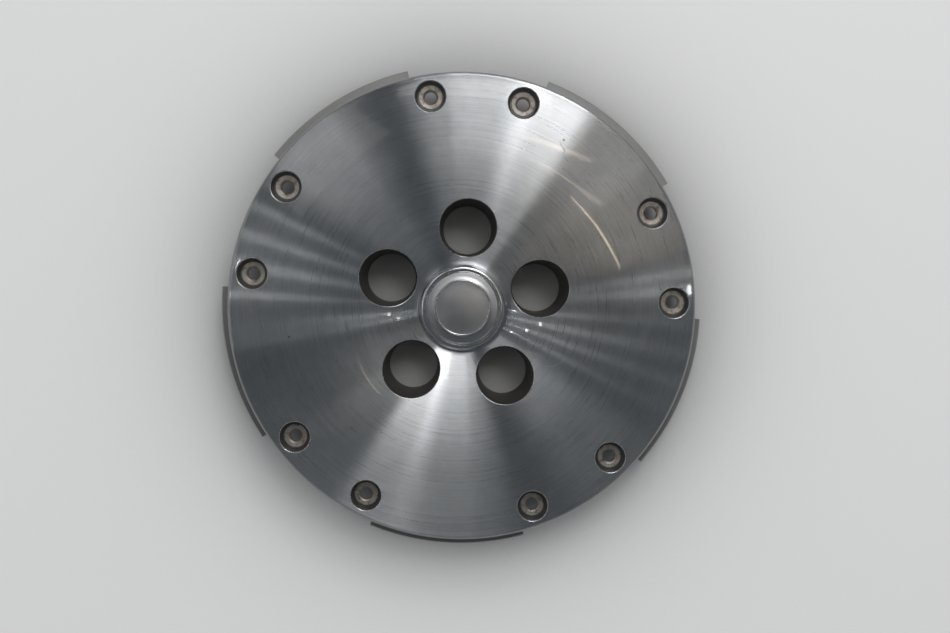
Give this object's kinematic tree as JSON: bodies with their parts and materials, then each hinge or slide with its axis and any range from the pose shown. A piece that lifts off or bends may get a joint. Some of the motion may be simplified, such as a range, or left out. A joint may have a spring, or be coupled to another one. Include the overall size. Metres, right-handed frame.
{
  "type": "wheel center cap",
  "caption": "Round turned aluminium wheel cover with deep drafted nut holes, counterbored bolt holes in pairs, rear locating ledges and a bright snap-in hub plug.",
  "frame": {"origin": "on the wheel axis, in the plane of the rear ends of the nut tubes, which the cover rests on", "axes": "+Z along the wheel axis, out of the turned face; +Y through the centre of one nut hole"},
  "size_m": [0.35, 0.3424, 0.0505],
  "materials": {
    "cast_aluminium": "turned face under clear coat, matt cast sides and back",
    "seat_steel": "dull, slightly browned steel",
    "plug_plating": "bright plated moulding",
    "spring_wire": "drawn spring wire"
  },
  "bodies": {
    "root": {"cover_casting": "cast_aluminium", "bolt_seat_01": "seat_steel", "bolt_seat_02": "seat_steel", "bolt_seat_03": "seat_steel", "bolt_seat_04": "seat_steel", "bolt_seat_05": "seat_steel", "bolt_seat_06": "seat_steel", "bolt_seat_07": "seat_steel", "bolt_seat_08": "seat_steel", "bolt_seat_09": "seat_steel", "bolt_seat_10": "seat_steel", "hub_plug": "plug_plating", "plug_wire_ring": "spring_wire"}
  },
  "joints": []
}
